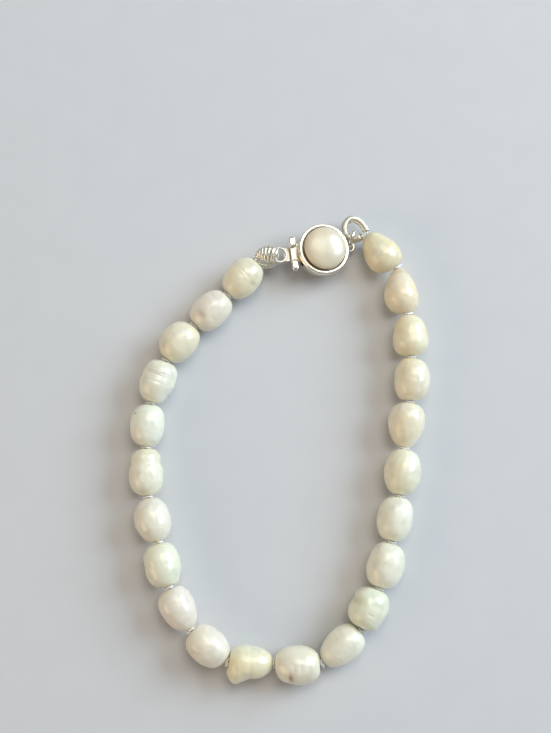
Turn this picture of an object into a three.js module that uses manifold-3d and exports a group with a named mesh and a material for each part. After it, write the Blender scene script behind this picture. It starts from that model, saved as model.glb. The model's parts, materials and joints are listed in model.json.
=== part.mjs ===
// Pearl bracelet: 22 drilled freshwater pearls knotted on a silk thread, which is closed by a round
// silver box clasp with a button pearl. The bracelet lies on its side on a flat surface, as a whole
// closed loop. Millimetres, +Z up, origin under the middle of the loop at the resting surface.
import * as THREE from "three";
import { mergeVertices } from "three/addons/utils/BufferGeometryUtils.js";
import Module from "manifold-3d";

const wasm = await Module();
wasm.setup();

// ---------------------------------------------------------------- driving dimensions

// Where the string leaves the left gimp loop, in plan. The pearls are threaded on from here.
const STRING_START = { x: -3.4, y: 31.8 };
// A pearl's bore, and the flat that drilling leaves around each mouth of it.
const DRILL = { bore: 0.4, face: 0.62 };
// The thread stops a little inside the first and last bores, where the gimp covers it.
const THREAD = { radius: 0.24, sides: 8, inset: 0.3 };
// The space that a knot fills between two pearls. It opens where the string turns.
const KNOT = { radius: 0.66, thickness: 0.28, gap: 0.38, openingPerDegree: 0.009, sides: 8, rings: 6 };
const PEARL_MESH = { around: 12, along: 11 };
// How finely rings of wire, curved sections and the button pearl are divided.
const WIRE_RING = { around: 8, along: 24 };
const CURVE_STEPS = 5;
const DOME_STEPS = 10;
// Vertices closer than this are one (mm).
const MERGE_REACH = 1e-4;

// The pearls in the order in which they are threaded, from the clasp's tongue round to its eye.
// length and width are mm, heading is the bore's direction in plan (degrees from +X, anticlockwise),
// belly is where the pearl is widest as a share of its length, first and last say how full each end
// is (2 is an ellipse, more is blunter, less is pointed), and sway moves the belly outward (mm).
const PEARLS = [
  { length: 7.2, width: 5.85, heading: 229, belly: 0.5, first: 2.2, last: 2.05, sway: 0.05 },
  { length: 7.2, width: 5.85, heading: 223, belly: 0.5, first: 2.2, last: 2.25, sway: 0.05 },
  { length: 7, width: 6.1, heading: 231, belly: 0.5, first: 2.1, last: 2, sway: 0.3 },
  { length: 7.1, width: 6, heading: 251, belly: 0.5, first: 2.5, last: 2.1, sway: 0.1 },
  { length: 6.9, width: 5.75, heading: 265, belly: 0.5, first: 2.3, last: 2.2, sway: 0.2 },
  { length: 7.7, width: 5.7, heading: 273, belly: 0.6, first: 2.5, last: 2.1, sway: 0.2 },
  { length: 7.2, width: 6.05, heading: 284, belly: 0.52, first: 2, last: 2.1, sway: 0.15 },
  { length: 7.1, width: 6.1, heading: 283, belly: 0.5, first: 2.35, last: 2.35, sway: 0.2 },
  { length: 7.2, width: 5.8, heading: 298, belly: 0.4, first: 2.3, last: 1.9, sway: 0.15 },
  { length: 7.2, width: 6.05, heading: 320, belly: 0.5, first: 2.3, last: 2.05, sway: 0.1 },
  { length: 7, width: 5.8, heading: 359, belly: 0.37, first: 2.5, last: 1.8, sway: 0.1 },
  { length: 7.3, width: 6.3, heading: 359, belly: 0.5, first: 2.1, last: 2.2, sway: 0.3 },
  { length: 7.65, width: 5.8, heading: 40, belly: 0.6, first: 1.9, last: 2.2, sway: -0.05 },
  { length: 6.75, width: 6.4, heading: 66, belly: 0.5, first: 2.3, last: 2.3, sway: -0.3 },
  { length: 7.4, width: 6.1, heading: 74, belly: 0.5, first: 2.2, last: 2.2, sway: 0.1 },
  { length: 7.25, width: 5.9, heading: 79, belly: 0.5, first: 2.2, last: 2.2, sway: -0.15 },
  { length: 7.5, width: 6.15, heading: 84, belly: 0.5, first: 2.1, last: 2.1, sway: 0.1 },
  { length: 7.4, width: 6.1, heading: 83, belly: 0.6, first: 1.8, last: 2.1, sway: -0.1 },
  { length: 7.1, width: 6, heading: 87, belly: 0.5, first: 2.2, last: 2.1, sway: 0.35 },
  { length: 6.9, width: 6, heading: 93, belly: 0.4, first: 2.3, last: 2, sway: 0.1 },
  { length: 7.6, width: 5.8, heading: 101, belly: 0.4, first: 2.1, last: 1.5, sway: -0.5 },
  { length: 7.3, width: 6, heading: 133, belly: 0.4, first: 2, last: 1.5, sway: -0.55 },
];

// What makes the baroque pearls uneven. at is a share of the pearl's length, side is degrees round
// the bore (0 is up, 90 is outward, 270 is inward, and null goes all round), height is mm outward,
// and along (share of length) and around (degrees) say how far it spreads.
const UNEVEN = [
  { pearl: 4, at: 0.34, side: null, height: -0.16, along: 0.09, around: 0 },
  { pearl: 4, at: 0.78, side: 270, height: -0.5, along: 0.14, around: 50 },
  { pearl: 6, at: 0.33, side: null, height: -0.24, along: 0.08, around: 0 },
  { pearl: 7, at: 0.8, side: 90, height: -0.25, along: 0.14, around: 50 },
  { pearl: 8, at: 0.45, side: 90, height: -0.2, along: 0.12, around: 40 },
  { pearl: 8, at: 0.85, side: 270, height: -0.25, along: 0.14, around: 50 },
  { pearl: 11, at: 0.16, side: 95, height: 0.6, along: 0.14, around: 40 },
  { pearl: 11, at: 0.52, side: 90, height: -0.35, along: 0.1, around: 45 },
  { pearl: 12, at: 0.34, side: 70, height: -0.12, along: 0.12, around: 30 },
  { pearl: 14, at: 0.56, side: 270, height: -0.3, along: 0.1, around: 45 },
  { pearl: 14, at: 0.3, side: 90, height: -0.3, along: 0.12, around: 40 },
  { pearl: 20, at: 0.6, side: 270, height: -0.12, along: 0.12, around: 40 },
];

// The gimp is fine coiled wire over the thread. Its loops are routes of points in mm. The left one
// goes over the tongue's end ring and back under it, and its coils stand apart, so it is fatter.
const GIMP_LEFT = { radius: 0.52, sides: 8, steps: 30 };
const GIMP_LEFT_ROUTE = [
  [-3.75, 32.4, 3.3],
  [-3.15, 33.35, 3.9],
  [-2.15, 33.75, 4.5],
  [-1.05, 33.6, 4.75],
  [-0.15, 33.15, 4.45],
  [0.05, 32.75, 3.8],
  [-0.35, 32.15, 3.0],
  [-1.2, 31.6, 2.75],
  [-2.05, 31.35, 2.8],
  [-2.75, 31.45, 2.95],
];
const GIMP_RIGHT = { radius: 0.46, sides: 8, steps: 30 };
const GIMP_RIGHT_ROUTE = [
  [15.15, 37.1, 3.05],
  [14.5, 38.2, 2.8],
  [13.5, 39.2, 2.4],
  [12.35, 39.4, 2.1],
  [11.5, 38.55, 1.9],
  [11.45, 37.25, 1.8],
  [12.3, 36.25, 1.8],
  [13.35, 35.95, 2.1],
  [14.3, 36.3, 2.85],
];

// The clasp is built upright about its own axis, with its tongue towards -X and its eye towards +X.
// Then it leans, so that its eye side is on the surface and its tongue meets the string.
const CLASP = { x: 7.05, y: 33.7, heading: 7, lean: 14, sides: 32 };
const DRUM = { radius: 4.05, edge: 0.2, top: 2.2, recess: 3.8, recessTop: 2.6 };
const BEZEL = { radius: 4.4, inner: 3.78, floor: 2.9, top: 3.5, round: 0.15 };
const HOLLOW = { radius: 3.6, floor: 0.4, ceiling: 2.1 };
const SLOT = { width: 4.4, bottom: 0.6, top: 2.0 };
const EYE = { x: 5.1, y: 0.5, z: 1.6, radius: 0.78, wire: 0.22, stemGap: 0.1 };
const BUTTON = { radius: 3.5, foot: 1.65, bottom: 2.98, belly: 3.95, top: 5.2, fullness: 2.1 };
const LEAF = { width: 3.2, thickness: 0.28, low: 0.75, high: 1.58, fold: 2.3, out: -4.6, tip: -4.9 };
const NECK = { width: 2.2, from: -4.2, to: -6.2, bottom: 0.72, height: 0.6 };
const THUMB_BAR = { x: -5.0, y: -0.15, width: 1.1, length: 5.85, bottom: 1.5, height: 0.85 };
const END_RING = { x: -7.2, z: 0.95, radius: 1.2, wire: 0.22 };

const JUMP_RING = { x: 12.7, y: 36.18, z: 1.9, radius: 1.55, wire: 0.3, heading: 72 };

// ---------------------------------------------------------------- materials

const PEARL_TINTS = [0xf0ebdd, 0xf2ecdf, 0xefe9da, 0xede8dc];
const BUTTON_TINT = 0xeee4cf;
const pearlFinish = (color) => new THREE.MeshStandardMaterial({ color, roughness: 0.28, metalness: 0 });
const silver = new THREE.MeshStandardMaterial({ color: 0xd9d6ce, roughness: 0.22, metalness: 1 });
const gimpSilver = new THREE.MeshStandardMaterial({ color: 0xd2cdc2, roughness: 0.35, metalness: 1 });
const silk = new THREE.MeshStandardMaterial({ color: 0xf1ede2, roughness: 0.85, metalness: 0 });

// ---------------------------------------------------------------- helpers

const radians = THREE.MathUtils.degToRad;

// The turn from one direction to another, from -180 to 180 degrees.
function turnBetween(from, to) {
  return THREE.MathUtils.euclideanModulo(to - from + 180, 360) - 180;
}

function named(name, geometry, material) {
  const mesh = new THREE.Mesh(geometry, material);
  mesh.name = name;
  return mesh;
}

function positionsOnly(geometry) {
  const bare = geometry.clone();
  bare.deleteAttribute("normal");
  bare.deleteAttribute("uv");
  return mergeVertices(bare, MERGE_REACH);
}

function toSolid(geometry) {
  const merged = positionsOnly(geometry);
  return new wasm.Manifold(
    new wasm.Mesh({
      numProp: 3,
      vertProperties: merged.attributes.position.array,
      triVerts: Uint32Array.from(merged.index.array),
    }),
  );
}

function toGeometry(solid) {
  const { vertProperties, triVerts } = solid.getMesh();
  const geometry = new THREE.BufferGeometry();
  geometry.setAttribute("position", new THREE.BufferAttribute(vertProperties, 3));
  geometry.setIndex(new THREE.BufferAttribute(triVerts, 1));
  return geometry;
}

function join(geometries) {
  return geometries.map(toSolid).reduce((whole, piece) => whole.add(piece));
}

// Turns a profile of [radius, height] points, listed anticlockwise, about the Z axis.
function turned(profile, sides) {
  const points = profile.map(([radius, height]) => new THREE.Vector2(radius, height));
  return new THREE.LatheGeometry(points, sides).rotateX(Math.PI / 2);
}

function roundSection(radius, sides) {
  const corners = [];
  for (let i = 0; i < sides; i += 1) {
    const angle = (i * 2 * Math.PI) / sides;
    corners.push(new THREE.Vector2(radius * Math.cos(angle), radius * Math.sin(angle)));
  }
  return new THREE.Shape(corners);
}

function tube(route, { radius, sides, steps }) {
  const path = new THREE.CatmullRomCurve3(route.map((point) => new THREE.Vector3(...point)));
  return new THREE.ExtrudeGeometry(roundSection(radius, sides), { steps, extrudePath: path });
}

function wireRing({ radius, wire }) {
  return new THREE.TorusGeometry(radius, wire, WIRE_RING.around, WIRE_RING.along);
}

// ---------------------------------------------------------------- pearls

// The smooth outline of half a pearl: how far along and how far out, from its end to its belly.
function fullnessCurve(angle, fullness) {
  return {
    along: Math.abs(Math.sin(angle)) ** (2 / fullness),
    out: Math.abs(Math.cos(angle)) ** (2 / fullness),
  };
}

function pearlProfile({ length, width, belly, first, last }) {
  const profile = [new THREE.Vector2(DRILL.bore, 0)];
  for (let i = 0; i <= PEARL_MESH.along; i += 1) {
    const angle = -Math.PI / 2 + (i * Math.PI) / PEARL_MESH.along;
    const { along, out } = fullnessCurve(angle, angle < 0 ? first : last);
    const middle = belly * length;
    const height = angle < 0 ? middle * (1 - along) : middle + along * (length - middle);
    profile.push(new THREE.Vector2(DRILL.face + out * (width / 2 - DRILL.face), height));
  }
  profile.push(new THREE.Vector2(DRILL.bore, length));
  profile.push(profile[0].clone());
  return profile;
}

function bell(distance, spread) {
  return Math.exp(-((distance / spread) ** 2));
}

// How much further out the surface is at a place on an uneven pearl (mm).
function unevenness(features, share, side) {
  let height = 0;
  for (const feature of features) {
    const round = feature.side === null ? 1 : bell(turnBetween(feature.side, side), feature.around);
    height += feature.height * bell(share - feature.at, feature.along) * round;
  }
  return height;
}

// A drilled pearl along +X from the origin, with its bore straight and its surface moved in or out.
function pearlGeometry(pearl, number) {
  const features = UNEVEN.filter((feature) => feature.pearl === number);
  const geometry = new THREE.LatheGeometry(pearlProfile(pearl), PEARL_MESH.around);
  const position = geometry.attributes.position;
  for (let i = 0; i < position.count; i += 1) {
    const radius = Math.hypot(position.getX(i), position.getZ(i));
    if (radius < DRILL.face + MERGE_REACH) continue;
    const share = position.getY(i) / pearl.length;
    const side = THREE.MathUtils.radToDeg(Math.atan2(position.getX(i), position.getZ(i)));
    const belly = (radius - DRILL.face) / (pearl.width / 2 - DRILL.face);
    const outward = pearl.sway * belly * Math.sin(radians(side));
    const moved = 1 + (outward + belly * unevenness(features, share, side)) / radius;
    position.setX(i, position.getX(i) * moved);
    position.setZ(i, position.getZ(i) * moved);
  }
  return geometry.rotateZ(-Math.PI / 2);
}

// ---------------------------------------------------------------- the string

// Walks along the string. Each pearl gets the place of its first drill face and the gap after it.
function threadPearls() {
  const place = new THREE.Vector2(STRING_START.x, STRING_START.y);
  return PEARLS.map((pearl, i) => {
    const direction = new THREE.Vector2(1, 0).rotateAround(new THREE.Vector2(), radians(pearl.heading));
    const turnTo = (other) => (other ? Math.abs(turnBetween(pearl.heading, other.heading)) : 0);
    const halfGap = (other) => (KNOT.gap + KNOT.openingPerDegree * turnTo(other)) / 2;
    const geometry = pearlGeometry(pearl, i + 1);
    geometry.computeBoundingBox();
    const before = halfGap(PEARLS[i - 1]);
    const after = halfGap(PEARLS[i + 1]);
    const first = place.clone().addScaledVector(direction, before);
    place.addScaledVector(direction, before + pearl.length + after);
    const height = -geometry.boundingBox.min.z;
    return { pearl, geometry, direction, before, after, first, knot: place.clone(), height };
  });
}

function pearlMeshes(string) {
  return string.map(({ pearl, geometry, first, height }, i) => {
    const name = `pearl_${String(i + 1).padStart(2, "0")}`;
    const mesh = named(name, geometry, pearlFinish(PEARL_TINTS[i % PEARL_TINTS.length]));
    mesh.position.set(first.x, first.y, height);
    mesh.rotation.z = radians(pearl.heading);
    return mesh;
  });
}

function knotGeometry(before, after) {
  const { heading } = before.pearl;
  const halfTurn = turnBetween(heading, after.pearl.heading) / 2;
  return new THREE.SphereGeometry(KNOT.radius, KNOT.sides, KNOT.rings)
    .scale(KNOT.thickness / 2 / KNOT.radius, 1, 1)
    .rotateZ(radians(heading + halfTurn))
    .translate(before.knot.x, before.knot.y, (before.height + after.height) / 2);
}

// The thread runs straight through each bore and is joined to the next stretch by a knot.
function threadMesh(string) {
  const pieces = [];
  string.forEach((here, i) => {
    const start = i > 0 ? here.before : -THREAD.inset;
    const end = i < string.length - 1 ? here.after : -THREAD.inset;
    const length = here.pearl.length + start + end;
    const middle = here.first.clone().addScaledVector(here.direction, length / 2 - start);
    pieces.push(
      new THREE.CylinderGeometry(THREAD.radius, THREAD.radius, length, THREAD.sides)
        .rotateZ(-Math.PI / 2)
        .rotateZ(radians(here.pearl.heading))
        .translate(middle.x, middle.y, here.height),
    );
    if (i < string.length - 1) pieces.push(knotGeometry(here, string[i + 1]));
  });
  return named("silk_thread", toGeometry(join(pieces)), silk);
}

// ---------------------------------------------------------------- clasp

function claspBox() {
  const body = turned(
    [
      [0, 0],
      [DRUM.radius - DRUM.edge, 0],
      [DRUM.radius, DRUM.edge],
      [DRUM.radius, DRUM.top],
      [DRUM.recess, DRUM.top + DRUM.edge],
      [DRUM.recess, DRUM.recessTop],
      [BEZEL.radius - BEZEL.round, DRUM.recessTop + BEZEL.round],
      [BEZEL.radius, BEZEL.floor],
      [BEZEL.radius, BEZEL.top - BEZEL.round],
      [BEZEL.radius - BEZEL.round, BEZEL.top],
      [BEZEL.inner + BEZEL.round, BEZEL.top],
      [BEZEL.inner, BEZEL.top - BEZEL.round],
      [BEZEL.inner, BEZEL.floor],
      [0, BEZEL.floor],
    ],
    CLASP.sides,
  );
  const hollow = turned(
    [
      [0, HOLLOW.floor],
      [HOLLOW.radius, HOLLOW.floor],
      [HOLLOW.radius, HOLLOW.ceiling],
      [0, HOLLOW.ceiling],
    ],
    CLASP.sides,
  );
  const slot = new THREE.BoxGeometry(DRUM.radius, SLOT.width, SLOT.top - SLOT.bottom).translate(
    -DRUM.radius,
    0,
    (SLOT.top + SLOT.bottom) / 2,
  );
  const eye = wireRing(EYE).translate(EYE.x, EYE.y, EYE.z);
  const stemLength = EYE.x - EYE.radius - HOLLOW.radius - EYE.stemGap;
  const stem = new THREE.CylinderGeometry(EYE.wire, EYE.wire, stemLength, WIRE_RING.around)
    .rotateZ(Math.PI / 2)
    .translate(EYE.x - EYE.radius - stemLength / 2, EYE.y, EYE.z);
  const solid = toSolid(body).subtract(toSolid(hollow)).subtract(toSolid(slot));
  return named("clasp_box", toGeometry(solid.add(join([eye, stem]))), silver);
}

function claspPearl() {
  const dome = [
    [0, BUTTON.bottom],
    [BUTTON.foot, BUTTON.bottom],
  ];
  for (let i = 2; i <= DOME_STEPS; i += 1) {
    const angle = -Math.PI / 2 + (i * Math.PI) / DOME_STEPS;
    const { along, out } = fullnessCurve(angle, BUTTON.fullness);
    const reach = angle < 0 ? BUTTON.bottom - BUTTON.belly : BUTTON.top - BUTTON.belly;
    dome.push([i === DOME_STEPS ? 0 : out * BUTTON.radius, BUTTON.belly + along * reach]);
  }
  return named("clasp_pearl", turned(dome, CLASP.sides), pearlFinish(BUTTON_TINT));
}

// The spring strip, folded back on itself: the lower leaf goes out to the end ring, and the upper
// leaf ends in the thumb bar, which releases it.
function springStrip() {
  const { thickness, low, high, fold, out, tip } = LEAF;
  const inner = (high - low - thickness * 2) / 4;
  const middle = low + thickness + inner;
  const section = new THREE.Shape();
  section.moveTo(out, low);
  section.lineTo(fold, low);
  section.absarc(fold, middle, thickness + inner, -Math.PI / 2, Math.PI / 2, false);
  section.lineTo(tip, high + thickness);
  section.lineTo(tip, high);
  section.lineTo(fold, middle + inner);
  section.absarc(fold, middle, inner, Math.PI / 2, -Math.PI / 2, true);
  section.lineTo(out, low + thickness);
  section.closePath();
  const extrusion = { depth: LEAF.width, bevelEnabled: false, curveSegments: CURVE_STEPS };
  return new THREE.ExtrudeGeometry(section, extrusion)
    .rotateX(Math.PI / 2)
    .translate(0, LEAF.width / 2, 0);
}

// The short half-round neck from the strip to the end ring.
function neck() {
  const { width, from, to, bottom, height } = NECK;
  const section = new THREE.Shape();
  section.absellipse(0, 0, width / 2, height, 0, Math.PI, false);
  section.closePath();
  const extrusion = { depth: from - to, bevelEnabled: false, curveSegments: CURVE_STEPS };
  return new THREE.ExtrudeGeometry(section, extrusion)
    .rotateX(Math.PI / 2)
    .rotateZ(Math.PI / 2)
    .translate(to, 0, bottom);
}

function thumbBar() {
  const { x, y, width, length, bottom, height } = THUMB_BAR;
  const straight = (length - width) / 2;
  const plan = new THREE.Shape();
  plan.absarc(0, straight, width / 2, 0, Math.PI, false);
  plan.absarc(0, -straight, width / 2, Math.PI, 2 * Math.PI, false);
  plan.closePath();
  const extrusion = { depth: height, bevelEnabled: false, curveSegments: CURVE_STEPS };
  return new THREE.ExtrudeGeometry(plan, extrusion).translate(x, y, bottom);
}

function claspTongue() {
  const ring = wireRing(END_RING).translate(END_RING.x, 0, END_RING.z);
  const solid = join([springStrip(), neck(), thumbBar(), ring]);
  return named("clasp_tongue", toGeometry(solid), silver);
}

function clasp() {
  const upright = new THREE.Group();
  upright.add(claspBox(), claspPearl(), claspTongue());
  upright.rotation.y = radians(CLASP.lean);
  upright.position.z = (DRUM.radius - DRUM.edge) * Math.sin(radians(CLASP.lean));
  const placed = new THREE.Group();
  placed.add(upright);
  placed.rotation.z = radians(CLASP.heading);
  placed.position.set(CLASP.x, CLASP.y, 0);
  return placed;
}

function jumpRing() {
  const mesh = named("jump_ring", wireRing(JUMP_RING).rotateX(Math.PI / 2), silver);
  mesh.rotation.z = radians(JUMP_RING.heading);
  mesh.position.set(JUMP_RING.x, JUMP_RING.y, JUMP_RING.z);
  return mesh;
}

// ---------------------------------------------------------------- assembly

const string = threadPearls();
const bracelet = new THREE.Group();
bracelet.add(
  ...pearlMeshes(string),
  threadMesh(string),
  named("gimp_left", tube(GIMP_LEFT_ROUTE, GIMP_LEFT), gimpSilver),
  named("gimp_right", tube(GIMP_RIGHT_ROUTE, GIMP_RIGHT), gimpSilver),
  clasp(),
  jumpRing(),
);

// The origin goes under the middle of the loop's box, on the surface that it lies on.
bracelet.updateMatrixWorld(true);
const box = new THREE.Box3().setFromObject(bracelet, true);
const middle = box.getCenter(new THREE.Vector3());
bracelet.position.set(-middle.x, -middle.y, -box.min.z);

export default bracelet;
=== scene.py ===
"""Pearl bracelet: 22 freshwater pearls knotted on silk, closed by a round silver clasp with a button pearl.

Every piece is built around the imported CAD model: the pearls are read back from it and made finer, and
the silk, the gimp loops and the clasp are made anew in the same places. Lengths are metres, +Z is up.
"""

import json
import math
from collections import namedtuple

import bpy
import numpy as np
from mathutils import Matrix, Vector


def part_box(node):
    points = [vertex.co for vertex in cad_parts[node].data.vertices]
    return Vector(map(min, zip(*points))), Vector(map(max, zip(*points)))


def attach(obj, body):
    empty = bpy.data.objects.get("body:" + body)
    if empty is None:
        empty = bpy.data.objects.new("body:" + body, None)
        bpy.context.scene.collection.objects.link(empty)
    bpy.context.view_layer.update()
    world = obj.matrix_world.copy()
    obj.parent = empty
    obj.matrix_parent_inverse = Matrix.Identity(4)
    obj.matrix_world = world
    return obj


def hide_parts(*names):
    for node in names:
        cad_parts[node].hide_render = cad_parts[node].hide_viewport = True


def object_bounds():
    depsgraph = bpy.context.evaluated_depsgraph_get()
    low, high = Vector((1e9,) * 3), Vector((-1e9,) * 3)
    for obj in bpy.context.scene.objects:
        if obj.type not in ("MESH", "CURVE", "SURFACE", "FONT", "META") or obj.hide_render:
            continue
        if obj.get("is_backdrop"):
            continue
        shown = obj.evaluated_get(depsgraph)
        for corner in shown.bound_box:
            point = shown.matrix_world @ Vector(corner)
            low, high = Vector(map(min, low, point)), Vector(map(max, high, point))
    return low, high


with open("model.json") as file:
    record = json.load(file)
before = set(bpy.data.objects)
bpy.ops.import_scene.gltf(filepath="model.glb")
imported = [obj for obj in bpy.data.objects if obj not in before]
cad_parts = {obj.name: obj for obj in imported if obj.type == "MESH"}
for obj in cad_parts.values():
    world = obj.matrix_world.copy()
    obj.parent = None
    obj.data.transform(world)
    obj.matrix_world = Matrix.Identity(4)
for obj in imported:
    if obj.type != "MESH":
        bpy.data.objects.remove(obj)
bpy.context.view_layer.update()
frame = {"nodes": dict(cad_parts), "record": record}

bl_info = {
    "name": "Pearl Bracelet",
    "version": (1, 0, 0),
    "blender": (4, 5, 0),
    "location": "3D View > Sidebar > Bracelet",
    "description": "Builds the pearls, silk, gimp loops and clasp of a knotted pearl bracelet",
    "category": "Add Mesh",
}

MM = 0.001
BODY = "root"
UP = np.array((0.0, 0.0, 1.0))
RNG_SEED = 22
FINE_SEED = 100

# ---------------------------------------------------------------- the pearls

PEARL_COUNT = 22
DRILL_FACE = 0.62  # radius of the flat around each mouth of a bore, mm
BORE = 0.4  # radius of a bore, mm
PEARL_ROWS = 84
PEARL_SIDES = 84
CAD_SIDES = 12  # sides of a ring of the CAD's pearls
RING_GAP = 0.01  # points nearer than this along the bore are in one ring, mm
MOUTH = ((0.5, 0.0), (0.43, 0.03), (BORE, 0.1))  # the soft edge of a mouth: radius and depth, mm
SKIN_FADE = 0.9  # marks and dents reach full strength where the skin stands this far outside the flat, mm
DENTS = {"broad": 2.2, "fine": 0.9, "fine_share": 0.45, "waves": 14}

# Fine marks in the surface of single pearls. at is a share of the pearl's length, side is degrees round
# the bore (0 is up, 90 is outward, None goes all round), along (share) and around (degrees) say how
# far the mark spreads, and height is mm outward.
Mark = namedtuple("Mark", "pearl at side along around height")
MARKS = (
    Mark(1, 0.43, 352, 0.030, 12, -0.07),
    Mark(1, 0.49, 2, 0.018, 10, -0.06),
    Mark(1, 0.40, 10, 0.016, 7, -0.06),
    Mark(1, 0.46, 358, 0.012, 12, 0.04),
    Mark(2, 0.27, 27, 0.035, 13, -0.10),
    Mark(2, 0.62, 330, 0.060, 20, -0.06),
    Mark(3, 0.70, 20, 0.080, 24, 0.05),
    Mark(4, 0.25, 18, 0.016, 24, -0.07),
    Mark(4, 0.31, 12, 0.016, 32, -0.11),
    Mark(4, 0.37, 8, 0.014, 26, -0.09),
    Mark(4, 0.34, 10, 0.012, 28, 0.05),
    Mark(4, 0.54, 5, 0.026, 34, -0.07),
    Mark(4, 0.72, 95, 0.070, 40, -0.14),
    Mark(4, 0.29, 90, 0.030, 34, -0.14),
    Mark(4, 0.50, 90, 0.035, 30, -0.10),
    Mark(4, 0.59, 270, 0.040, 34, -0.10),
    Mark(5, 0.25, 54, 0.016, 6, -0.14),
    Mark(5, 0.72, 10, 0.070, 26, -0.05),
    Mark(6, 0.33, None, 0.030, 0, -0.06),
    Mark(6, 0.70, 20, 0.090, 22, 0.05),
    Mark(7, 0.55, 345, 0.090, 24, -0.06),
    Mark(8, 0.45, 40, 0.060, 30, -0.08),
    Mark(8, 0.72, 350, 0.080, 26, 0.05),
    Mark(9, 0.62, 20, 0.110, 26, -0.07),
    Mark(10, 0.60, 10, 0.050, 30, -0.06),
    Mark(11, 0.50, None, 0.050, 0, -0.07),
    Mark(11, 0.20, 60, 0.080, 30, 0.10),
    Mark(11, 0.26, 92, 0.140, 40, 0.14),
    Mark(12, 0.33, 45, 0.056, 22, 0.10),
    Mark(12, 0.33, 45, 0.032, 13, -0.30),
    Mark(12, 0.42, 12, 0.016, 14, -0.07),
    Mark(12, 0.50, 20, 0.018, 12, 0.06),
    Mark(12, 0.58, 8, 0.035, 12, -0.08),
    Mark(12, 0.68, 352, 0.035, 13, 0.07),
    Mark(12, 0.76, 12, 0.032, 13, -0.07),
    Mark(12, 0.86, 358, 0.030, 14, 0.05),
    Mark(13, 0.45, 20, 0.100, 26, -0.05),
    Mark(14, 0.38, 3, 0.024, 9, -0.10),
    Mark(14, 0.62, 15, 0.070, 26, -0.07),
    Mark(15, 0.46, 8, 0.100, 20, -0.06),
    Mark(15, 0.58, 340, 0.050, 18, 0.04),
    Mark(16, 0.50, 12, 0.260, 12, -0.05),
    Mark(17, 0.40, 330, 0.080, 24, 0.04),
    Mark(18, 0.50, 5, 0.120, 24, -0.05),
    Mark(19, 0.40, 15, 0.080, 24, 0.05),
    Mark(20, 0.60, 270, 0.050, 30, -0.07),
    Mark(20, 0.42, 10, 0.090, 26, -0.05),
    Mark(21, 0.55, 10, 0.120, 28, -0.05),
    Mark(22, 0.45, 350, 0.120, 28, -0.06),
)

# Where a pearl's skin leans along its bore, placed as the marks are (reach is mm towards the end).
Lean = namedtuple("Lean", "pearl at side along around reach")
LEANS = (Lean(11, 0.10, 90, 0.34, 70, -0.60), Lean(12, 0.95, 90, 0.30, 70, 0.20))

# Fine furrows that run lengthwise: how many there are round the pearl, and how deep (mm).
Furrows = namedtuple("Furrows", "pearl count depth")
FURROWS = (Furrows(6, 13, 0.010), Furrows(17, 17, 0.016), Furrows(18, 11, 0.010))

# Small stains, placed as the marks are. They darken the nacre towards brown.
Stain = namedtuple("Stain", "pearl at side along around strength")
STAINS = (
    Stain(1, 0.45, 315, 0.06, 16, 0.45),
    Stain(2, 0.73, 5, 0.07, 18, 0.40),
    Stain(4, 0.325, 10, 0.03, 60, 0.25),
    Stain(5, 0.25, 54, 0.018, 7, 0.95),
    Stain(12, 0.37, 42, 0.055, 20, 0.60),
    Stain(12, 0.35, 44, 0.022, 9, 0.60),
    Stain(14, 0.56, 300, 0.08, 26, 0.30),
    Stain(21, 0.92, 20, 0.06, 90, 0.30),
    Stain(22, 0.94, 10, 0.05, 90, 0.30),
)

# How far each pearl's nacre leans to gold, rose and green, from 0 to 1.
Tone = namedtuple("Tone", "gold rose green")
TONES = (
    Tone(0.50, 0.10, 0.05),
    Tone(0.30, 0.55, 0.00),
    Tone(0.45, 0.15, 0.10),
    Tone(0.15, 0.20, 0.10),
    Tone(0.10, 0.10, 0.15),
    Tone(0.30, 0.10, 0.10),
    Tone(0.20, 0.45, 0.00),
    Tone(0.20, 0.05, 0.40),
    Tone(0.20, 0.75, 0.00),
    Tone(0.30, 0.45, 0.00),
    Tone(0.55, 0.00, 0.35),
    Tone(0.35, 0.25, 0.10),
    Tone(0.20, 0.20, 0.10),
    Tone(0.20, 0.00, 0.80),
    Tone(0.20, 0.15, 0.15),
    Tone(0.20, 0.15, 0.00),
    Tone(0.40, 0.05, 0.25),
    Tone(0.45, 0.30, 0.00),
    Tone(0.50, 0.25, 0.00),
    Tone(0.55, 0.10, 0.15),
    Tone(0.75, 0.35, 0.00),
    Tone(0.80, 0.05, 0.20),
)

# ---------------------------------------------------------------- the silver, in mm

# The centre of the jump ring in the plan that the gimp's routes and coils are written in. Where the
# frame has the ring says how that plan lies. heading, gap and butt are degrees.
JUMP_RING_CENTRE = (12.7, 36.18, 1.9)
JUMP_RING = {"radius": 1.55, "wire": 0.3, "heading": 72, "gap": 7, "butt": 140, "steps": 90, "sides": 22}

COIL_STEPS = 400
COIL_SIDES = 22
WIRE_SIDES = 10
GIMP_DULLNESS = 0.1

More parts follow.
